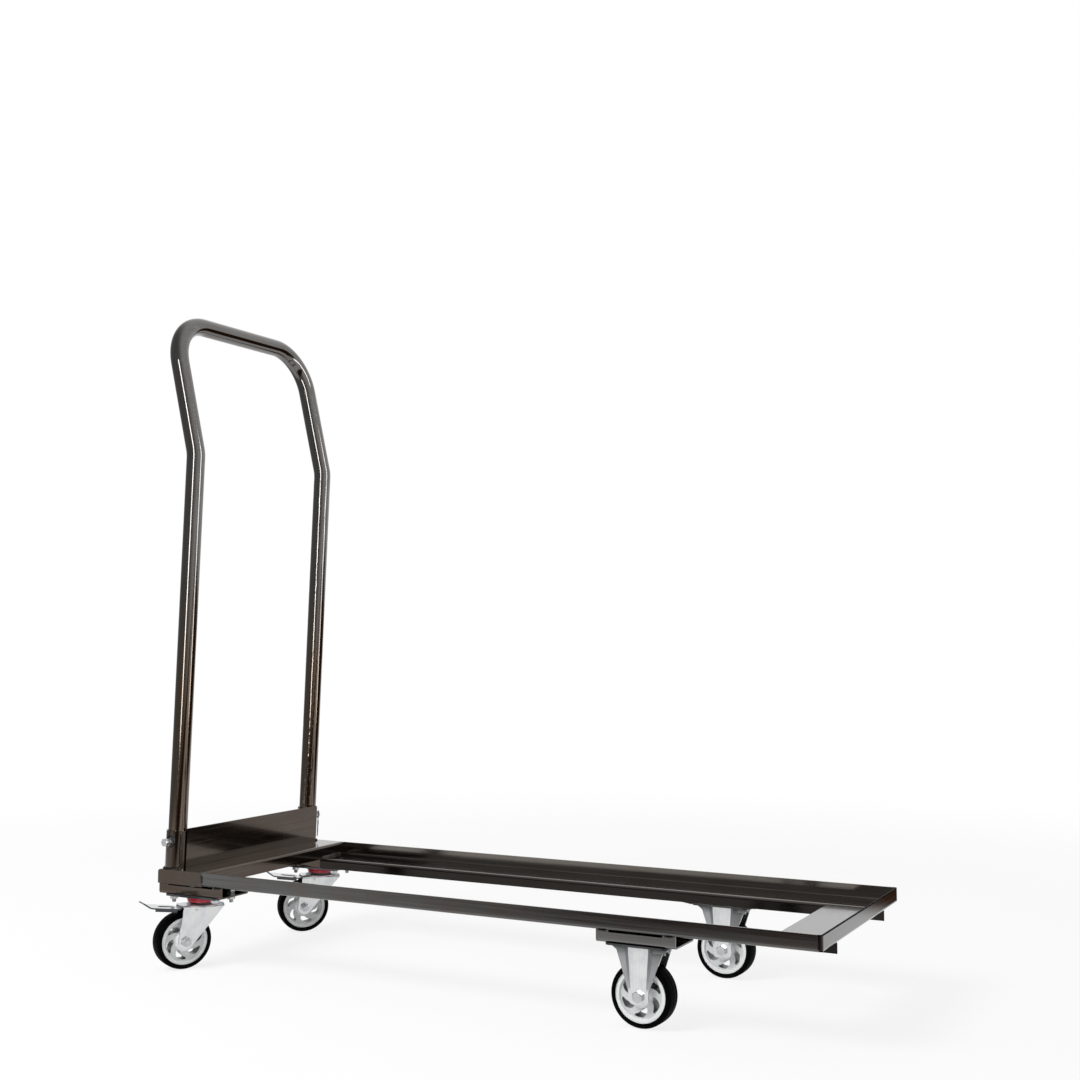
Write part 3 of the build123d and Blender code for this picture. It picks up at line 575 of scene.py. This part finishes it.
# clamp screws: hexagon head, thread down to the handle
clampSet = {"radius": 4.0, "thread": 1.25, "flats": 13.0, "head": 5.3, "lead": 0.8, "collar": 5.9,
            "collarHeight": 0.5}
given = clampSet
hexTop = given["head"] - given["collarHeight"]
head = hexGrid(given["flats"], 0.0, hexTop, 0.0)
collar = ringGrid([(0, hexTop), (given["collar"], hexTop), (given["collar"], given["head"]),
                   (0, given["head"])])
for side, outward in sides:
    node = "clamp_screw_" + side
    low, high = cornersOf(node)
    spot = (low + high) / 2
    spot[1] = high[1] if outward > 0 else low[1]
    reach = (high[1] - low[1]) / mm
    shank = threadGrid(given["radius"], given["thread"], given["head"], reach, given["lead"])
    parts = standUp([head, collar, shank], spot, (0, -outward, 0), (1, 0, 0))
    piece = addPiece("clamp_screw_threaded_" + side, parts, "clamp_" + side, zincBoltSteel,
                     angle)
    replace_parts(piece, node)

# axle bolts and lock nuts of the four wheels
axleSet = {"radius": 5.0, "thread": 1.5, "flats": 16.0, "head": 6.0, "nut": 8.0, "nutHex": 5.6,
           "collar": 7.0, "collarRound": ((0.0, 1.0), (0.3, 0.5), (1.0, 0.0)), "tail": 3.0, "lead": 1.2}


def axleBolt(name, node, nutNode, body, headFace, axis):
    given = axleSet
    radius = given["radius"]
    span = np.dot(middleOf(nutNode) - headFace, axis) / mm
    nutFrom, nutTo = span - given["nut"] / 2, span + given["nut"] / 2
    up = (0, 0, 1)
    angle = smoothAngles["fastener"]
    head = hexGrid(given["flats"], 0.0, given["head"], 0.0)
    shank = ringGrid([(0, given["head"]), (radius, given["head"]), (radius, nutFrom), (0, nutFrom)])
    tail = threadGrid(radius, given["thread"], nutFrom, nutTo + given["tail"], given["lead"])
    parts = standUp([head, shank, tail], headFace, axis, up)
    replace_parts(addPiece(name + "_bolt", parts, body, zincBoltSteel, angle), node)
    hexTop = nutFrom + given["nutHex"]
    nut = hexGrid(given["flats"], nutFrom, hexTop, radius)
    rounded = [(given["collar"] - inwards, nutTo - down) for inwards, down in given["collarRound"]]
    collar = ringGrid([(radius, hexTop), (given["collar"], hexTop), *rounded, (radius, nutTo)])
    parts = standUp([nut, collar], headFace, axis, up)
    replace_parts(addPiece(name + "_lock_nut", parts, body, zincBoltSteel, angle), nutNode)


tyreSet = {
    "halfWidth": 17.0, "shoulder": 6.0, "wall": 8.5, "count": 128, "bendSteps": 10,
    "flash": 0.25, "flashEdge": (0.4, 0.9),  # mould flash round the middle of the tread
    "groove": 0.7, "grooveEdge": (2.0, 1.6, 0.9),  # from the shoulder: its edge, and both ends of its floor
    "ring": 0.5, "ringEdge": (1.7, 1.4, 1.1),  # from the inside of the wall: top of the ring, and its foot
}


def tyreRing(name, node, body, centre, axis):
    # the tread's half profile is a flat, a quarter round shoulder and a wall with one raised ring, mirrored
    given = tyreSet
    low, high = cornersInMm(node)
    radius = (high[2] - low[2]) / 2
    tread = radius - given["flash"]
    floor = radius - given["groove"]
    inner = radius - given["wall"]
    half, shoulder = given["halfWidth"], given["shoulder"]
    flat = half - shoulder
    foot = half - given["ring"]
    top, slope = given["flashEdge"]
    grooveTop, grooveStart, grooveEnd = given["grooveEdge"]
    crown = [(radius, 0.0), (radius, top), (tread, slope), (tread, flat - grooveTop),
             (floor, flat - grooveStart), (floor, flat - grooveEnd)]
    bend = np.linspace(0, math.pi / 2, given["bendSteps"])
    arc = np.stack([tread - shoulder + shoulder * np.cos(bend), flat + shoulder * np.sin(bend)], 1)
    ringStart, ringEnd, ringFoot = (inner + edge for edge in given["ringEdge"])
    wall = [(ringStart, half), (ringEnd, half), (ringFoot, foot), (inner, foot)]
    outer = np.concatenate([crown, arc, wall])
    profile = np.concatenate([(outer * (1, -1))[::-1], outer[1:]])
    parts = standUp([ringGrid(profile, given["count"])], centre, axis, (0, 0, 1))
    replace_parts(addPiece(name, parts, body, tyreRubber, smoothAngles["tyre"]), node)


for name, (centre, axis) in wheelPlaces.items():
    kind, side = name.split("_")
    node, nutNode = f"{kind}_axle_{side}", f"{kind}_axle_nut_{side}"
    reach = np.dot(middleOf(nutNode) - centre, axis)
    headFace = centre - axis * (reach - axleSet["nut"] / 2 * mm + axleSet["head"] * mm)
    axleBolt(node, node, nutNode, "frame" if kind == "fixed" else name, headFace, axis)
    tyreRing(f"{kind}_tread_{side}", f"{kind}_tyre_{side}", f"{kind}_roll_{side}", centre, axis)
print("fasteners and tyres made")

# weld beads, in mm; draws are summed over a window and divided by about its root, so they still spread by 1
weldSet = {"leg": 3.6, "bulge": 0.8, "scale": 2.2, "lag": 0.9, "ripple": 0.3, "sink": 0.5, "across": 9,
           "step": 0.45, "least": 8, "uneven": 0.09, "window": 17, "root": 4}
chance = np.random.default_rng(11)


def weldBead(corner, legA, legB, outward, closed=False):
    # point = corner + size (legA (1-t) + legB t + outward bulge 4t(1-t) (1 + ripple (1-saw))), where the size
    # wavers and runs out at the ends of an open bead, and the saw runs with the length and lags towards both
    # toes, which leaves the half-moon scales; a sunk line closes the back
    given = weldSet
    t = np.linspace(0, 1, given["across"])
    steps = np.linalg.norm(np.diff(corner, axis=0), axis=1)
    run = np.concatenate([[0], np.cumsum(steps)])
    length = run[-1]
    scale = run[:, None] / given["scale"] - given["lag"] * (2 * t - 1) ** 2
    if closed:  # a whole number of scales goes round
        scale = scale * round(length / given["scale"]) * given["scale"] / length
    saw = scale % 1
    window = given["window"]
    draws = chance.normal(0, 1, len(run) + window - 1)
    waver = np.convolve(draws, np.ones(window) / given["root"], "valid")
    size = 1 + given["uneven"] * waver
    if not closed:
        near = np.minimum(run, length - run) / given["leg"]
        size = size * np.sqrt(np.clip(1 - (1 - np.clip(near, 0, 1)) ** 2, 0, 1))
    size = size[:, None, None]
    hump = (4 * t * (1 - t))[None, :] * given["bulge"] * (1 + given["ripple"] * (1 - saw))
    face = corner[:, None] + size * (legA[:, None] * (1 - t)[:, None] + legB[:, None] * t[:, None]
                                     + outward[:, None] * hump[..., None])
    back = corner - given["sink"] * outward
    grid = np.concatenate([face, back[:, None]], 1)
    return grid * mm, closed


def straightBead(start, end, legA, legB, outward):  # a bead along one line
    start, end = np.asarray(start, float), np.asarray(end, float)
    count = max(int(np.linalg.norm(end - start) / weldSet["step"]), weldSet["least"])
    corner = start + (end - start) * np.linspace(0, 1, count)[:, None]
    spread = np.ones((count, 1))
    legA, legB = np.asarray(legA, float), np.asarray(legB, float)
    return weldBead(corner, spread * legA, spread * legB, spread * unit(outward))


def addWelds(name, beads):
    addPiece(name, beads, "frame", weldSteel, smoothAngles["weld"])


leg = weldSet["leg"]
lift = next(joint for joint in frame["joints"] if joint["name"] == "handle_lift")
leanAxis = unit(lift["axis"])
leanCosine = leanAxis[2]
leanSlope = leanAxis[0] / leanAxis[2]
carrierTop = cornersInMm("end_carrier")[1][2]

# round the feet of the sockets, open where the end wall stands, and round the clamp nuts
socketWeldSet = {"open": 24.0, "nutSeat": 7.2, "nutCount": 150, "nutLeg": 0.9}  # degrees, mm, points, share
given = socketWeldSet
socketWelds, nutWelds = [], []
for side, outward in sides:
    low, high = cornersInMm("handle_socket_" + side)
    radius = (high[1] - low[1]) / 2
    centreY = (high[1] + low[1]) / 2
    centreX = low[0] + radius / leanCosine
    start, end = math.radians(given["open"]), math.radians(360 - given["open"])
    turn = np.linspace(start, end, int(2 * math.pi * radius / weldSet["step"]))
    out = np.stack([np.cos(turn), np.sin(turn), 0 * turn], 1)
    corner = np.array((centreX, centreY, carrierTop)) + out * (radius / leanCosine, radius, 0)
    up = np.repeat(leanAxis[None], len(turn), 0)
    socketWelds.append(weldBead(corner, out * leg, up * leg, unit(out + up)))
    nutMiddle = middleOf("clamp_nut_" + side) / mm
    turn = roundTurn(given["nutCount"])
    u, v = given["nutSeat"] * np.cos(turn), given["nutSeat"] * np.sin(turn)
    wall = np.sqrt(radius ** 2 - u ** 2)
    corner = np.stack([nutMiddle[0] + u + v * leanSlope, centreY + outward * wall, nutMiddle[2] + v], 1)
    toe = unit(np.stack([np.cos(turn), -outward * u / wall * np.cos(turn), np.sin(turn)], 1))
    away = np.repeat(np.array([[0, outward, 0]]), len(turn), 0)
    nutWelds.append(weldBead(corner, toe * leg, away * leg * given["nutLeg"], unit(toe + away), True))
addWelds("socket_foot_welds", socketWelds)
addWelds("clamp_nut_welds", nutWelds)

# rails to the carrier, end plate to the rails, end wall to the carrier and sockets, pans to the rails
railWeldSet = {"flat": 0.8, "rimEnds": (5.5, 4.5), "ledgeEnds": (8.0, 6.0), "sheet": 2.5}
endWeldSet = {"starts": (10.0, 40.0, 70.0), "length": 18.0}
wallWeldSet = {"aside": 9.0, "run": (8.0, 62.0), "bulgeWay": -0.4, "margin": 45.0, "length": 40.0,
               "count": 4}
panWeldSet = {"front": 15.0, "back": 24.0, "margin": 3.0, "leg": 2.2, "count": 3}
railLow, railHigh = cornersInMm("side_rail_front")
rearLow, rearHigh = cornersInMm("side_rail_rear")
plateLow = cornersInMm("end_plate")[0]
wallLow, wallHigh = cornersInMm("end_wall")
trayZ = plateLow[2]
ledgeZ = trayZ + railWeldSet["sheet"]
lipFoot = railLow[2]
joint = cornersInMm("end_carrier")[1][0]
railWelds, endWelds, wallWelds, panWelds = [], [], [], []
for side, outward in sides:
    rimY, lipY = (railLow[1], railHigh[1]) if outward < 0 else (rearHigh[1], rearLow[1])
    given = railWeldSet
    half = given["flat"] * leg
    first, last = given["rimEnds"]
    railWelds.append(straightBead((joint, rimY, trayZ + first), (joint, rimY, carrierTop - last),
                                  (-half, 0, 0), (half, 0, 0), (0, outward, 0)))
    first, last = given["ledgeEnds"]
    railWelds.append(straightBead((joint, rimY - outward * first, ledgeZ),
                                  (joint, lipY + outward * last, ledgeZ),
                                  (leg, 0, 0), (0, 0, leg), (1, 0, 1)))
    for start in endWeldSet["starts"]:
        x = plateLow[0] + start
        endWelds.append(straightBead((x, lipY, trayZ), (x + endWeldSet["length"], lipY, trayZ),
                                     (0, -outward * leg, 0), (0, 0, -leg), (0, -outward, -1)))
    given = wallWeldSet
    low, high = cornersInMm("handle_socket_" + side)
    slope = math.asin(given["aside"] / ((high[1] - low[1]) / 2))
    first, last = given["run"]
    for hand in (-1, 1):
        foot = np.array((wallLow[0], (high[1] + low[1]) / 2 + hand * given["aside"], carrierTop))
        wallWelds.append(straightBead(foot + leanAxis * first, foot + leanAxis * last, (0, hand * leg, 0),
                                      (-leg * math.sin(slope), hand * leg * math.cos(slope), 0),
                                      (given["bulgeWay"], hand, 0)))
    given = panWeldSet
    for kind in ("fixed_pan_", "swivel_pan_"):
        low, high = cornersInMm(kind + side)
        wallY, backY = (low[1], high[1]) if outward < 0 else (high[1], low[1])
        first, last = low[0] + given["margin"], high[0] - given["margin"]
        bead = given["front"]
        for x in (first, last - bead):
            panWelds.append(straightBead((x, wallY, trayZ), (x + bead, wallY, trayZ), (0, 0, -given["leg"]),
                                         (0, outward * given["leg"], 0), (0, outward, -1)))
        bead = given["back"]
        first = max(low[0], joint) + given["margin"]
        for x in np.linspace(first, last - bead, given["count"] if low[0] > joint else 1):
            panWelds.append(straightBead((x, backY, lipFoot), (x + bead, backY, lipFoot),
                                         (0, 0, -given["leg"]), (0, lipY - backY, 0), (0, -outward, -1)))
given = wallWeldSet
bead = given["length"]
first, last = wallLow[1] + given["margin"], wallHigh[1] - given["margin"]
for y in np.linspace(first, last - bead, given["count"]):
    wallWelds.append(straightBead((wallLow[0], y, carrierTop), (wallLow[0], y + bead, carrierTop),
                                  (-leg, 0, 0), leanAxis * leg, (-1, 0, 1)))
addWelds("rail_carrier_welds", railWelds)
addWelds("end_plate_welds", endWelds)
addWelds("end_wall_welds", wallWelds)
addWelds("pan_welds", panWelds)
print("welds made")

# studio: white all round, darker towards the front left where no lamp stands, seen only in what mirrors it
studioSet = {"white": "#ffffff", "darkWay": (-0.6, -0.8, 0.0), "dark": "#8e8e8e", "from": -0.4, "to": 0.5,
             "ambient": 0.52}
roomWhite, roomDark = linear(studioSet["white"]), linear(studioSet["dark"])


def darkSide(tree, way):  # 1 in the dark direction, 0 well away from it
    towards = addNode(tree, "ShaderNodeVectorMath", {0: way, 1: studioSet["darkWay"]},
                      operation="DOT_PRODUCT")
    return addNode(tree, "ShaderNodeMapRange", {"Value": towards.outputs["Value"],
                                                "From Min": studioSet["from"], "From Max": studioSet["to"]},
                   interpolation_type="SMOOTHSTEP").outputs[0]


def seenOrMirrored(tree, path):  # 1 for what the camera sees directly, in a mirror or through glass
    seen = addNode(tree, "ShaderNodeMath", {0: path.outputs["Is Camera Ray"],
                                            1: path.outputs["Is Glossy Ray"]}, operation="MAXIMUM")
    return addNode(tree, "ShaderNodeMath", {0: seen.outputs[0], 1: path.outputs["Is Transmission Ray"]},
                   operation="MAXIMUM").outputs[0]


world = bpy.data.worlds.new("studio")
world.use_nodes = True
tree = world.node_tree
tree.nodes.clear()
path = addNode(tree, "ShaderNodeLightPath")
depth = darkSide(tree, addNode(tree, "ShaderNodeTexCoord").outputs["Generated"])
depth = addNode(tree, "ShaderNodeMath", {0: depth, 1: path.outputs["Is Glossy Ray"]}, operation="MULTIPLY")
room = addNode(tree, "ShaderNodeMix", {"Factor": depth.outputs[0], "A": roomWhite, "B": roomDark},
               data_type="RGBA")
level = addNode(tree, "ShaderNodeMapRange", {"Value": seenOrMirrored(tree, path),
                                             "To Min": studioSet["ambient"], "To Max": 1.0})
sky = addNode(tree, "ShaderNodeBackground", {"Color": room.outputs[2], "Strength": level.outputs[0]})
addNode(tree, "ShaderNodeOutputWorld", {"Surface": sky.outputs[0]})
bpy.context.scene.world = world

# floor: plain white vinyl with a very slight mottle, lost in the white room a few metres off; what mirrors
# it shows it brown before the rails and behind the open end, and as dark as the room on the far dark side
floorSet = {
    "light": "#fafafa", "dark": "#f4f4f4", "mottle": 300.0, "reach": 40.0, "glow": 0.82,
    "fade": (1.3, 3.2), "roomFrom": (1.7, 2.6),  # m from the frame's origin
    "brown": "#452c1d",
    "frontAcross": (-1.3, 0.0),  # m along x
    "frontNear": (0.58, 0.72), "frontFar": (2.6, 1.7),  # m ahead of the front rail
    "behindAcross": (0.5, 0.7), "behind": (0.82, 1.0),  # m along x and y
}
given = floorSet
floorVinyl, tree, place = startMaterial("white_floor_vinyl")
mottle = addNode(tree, "ShaderNodeTexNoise", {"Vector": place, "Scale": repeats(given["mottle"])})
tone = addNode(tree, "ShaderNodeMix", {"Factor": mottle.outputs[0], "A": linear(given["dark"]),
                                       "B": linear(given["light"])}, data_type="RGBA")
matt = addNode(tree, "ShaderNodeBsdfDiffuse", {"Color": tone.outputs[2]})
path = addNode(tree, "ShaderNodeLightPath")
spot = addNode(tree, "ShaderNodeSeparateXYZ", {"Vector": place}).outputs
ahead = addNode(tree, "ShaderNodeMath", {0: float(cornerY), 1: spot["Y"]}, operation="SUBTRACT").outputs[0]
frontSpans = ((spot["X"], "frontAcross"), (ahead, "frontNear"), (ahead, "frontFar"))
behindSpans = ((spot["X"], "behindAcross"), (spot["Y"], "behind"))
patches = []
for spans in (frontSpans, behindSpans):
    patch = path.outputs["Is Glossy Ray"]
    for value, key in spans:
        start, end = given[key]
        part = addNode(tree, "ShaderNodeMapRange", {"Value": value, "From Min": start, "From Max": end},
                       interpolation_type="SMOOTHSTEP")
        patch = addNode(tree, "ShaderNodeMath", {0: patch, 1: part.outputs[0]},
                        operation="MULTIPLY").outputs[0]
    patches.append(patch)
patch = addNode(tree, "ShaderNodeMath", {0: patches[0], 1: patches[1]}, operation="MAXIMUM").outputs[0]
far = addNode(tree, "ShaderNodeVectorMath", {0: place}, operation="LENGTH").outputs["Value"]
way = addNode(tree, "ShaderNodeVectorMath", {0: place}, operation="NORMALIZE").outputs[0]
start, end = given["roomFrom"]
distant = addNode(tree, "ShaderNodeMapRange", {"Value": far, "From Min": start, "From Max": end},
                  interpolation_type="SMOOTHSTEP")
dim = addNode(tree, "ShaderNodeMath", {0: darkSide(tree, way), 1: distant.outputs[0]}, operation="MULTIPLY")
dim = addNode(tree, "ShaderNodeMath", {0: dim.outputs[0], 1: path.outputs["Is Glossy Ray"]},
              operation="MULTIPLY")
white = addNode(tree, "ShaderNodeMix", {"Factor": dim.outputs[0], "A": roomWhite, "B": roomDark},
                data_type="RGBA")
white = addNode(tree, "ShaderNodeMix", {"Factor": patch, "A": white.outputs[2], "B": linear(given["brown"])},
                data_type="RGBA")
glow = addNode(tree, "ShaderNodeEmission", {"Color": white.outputs[2], "Strength": 1.0})
start, end = given["fade"]
fade = addNode(tree, "ShaderNodeMapRange", {"Value": far, "From Min": start, "From Max": end,
                                            "To Min": given["glow"], "To Max": 1.0},
               interpolation_type="SMOOTHSTEP")
share = addNode(tree, "ShaderNodeMath", {0: seenOrMirrored(tree, path), 1: fade.outputs[0]},
                operation="MULTIPLY")
share = addNode(tree, "ShaderNodeMath", {0: share.outputs[0], 1: patch}, operation="MAXIMUM")
both = addNode(tree, "ShaderNodeMixShader", {0: share.outputs[0], 1: matt.outputs[0], 2: glow.outputs[0]})
addNode(tree, "ShaderNodeOutputMaterial", {"Surface": both.outputs[0]})
reach = given["reach"]
floorCorners = [(-reach, -reach, 0), (reach, -reach, 0), (reach, reach, 0), (-reach, reach, 0)]
floorMesh = bpy.data.meshes.new("floor")
floorMesh.from_pydata(floorCorners, [], [(0, 1, 2, 3)])
floorMesh.materials.append(floorVinyl)
floor = bpy.data.objects.new("floor", floorMesh)
bpy.context.scene.collection.objects.link(floor)

# lamps: a broad key over the left shoulder, two tall strips that draw the lines down the tube and leave out
# the flat sheets, which would mirror them as white patches
stripSet = {"aim": (-0.55, -0.17, 0.75), "size": (0.45, 2.6), "mirrored": True}
lamps = (
    {"name": "key", "at": (-1.6, -2.6, 3.2), "power": 124, "aim": (0, 0, 0.4), "size": (1.8, 1.8),
     "mirrored": False},
    {"name": "strip_camera", "at": (0.33, -3.25, 1.3), "power": 40, **stripSet},
    {"name": "strip_right", "at": (2.47, 0.89, 1.3), "power": 27, **stripSet},
)
flatSheets = bpy.data.collections.new("flat_sheets")
for name in ("side_rail_front", "side_rail_rear", "end_plate", "end_carrier", "end_wall"):
    flatSheets.objects.link(frame["nodes"][name])
for entry in flatSheets.collection_objects:
    entry.light_linking.link_state = "EXCLUDE"
for given in lamps:
    lampData = bpy.data.lights.new(given["name"], "AREA")
    lampData.shape = "RECTANGLE"
    lampData.size, lampData.size_y = given["size"]
    lampData.energy = given["power"]
    lamp = bpy.data.objects.new(given["name"], lampData)
    lamp.location = given["at"]
    look = unit(np.array(given["aim"]) - np.array(given["at"]))
    lamp.rotation_euler = (math.acos(-look[2]), 0, math.atan2(-look[0], look[1]))
    lamp.visible_camera = False
    lamp.visible_glossy = given["mirrored"]
    lamp.visible_diffuse = not given["mirrored"]
    if given["mirrored"]:
        lamp.light_linking.receiver_collection = flatSheets
    bpy.context.scene.collection.objects.link(lamp)
print("studio set")
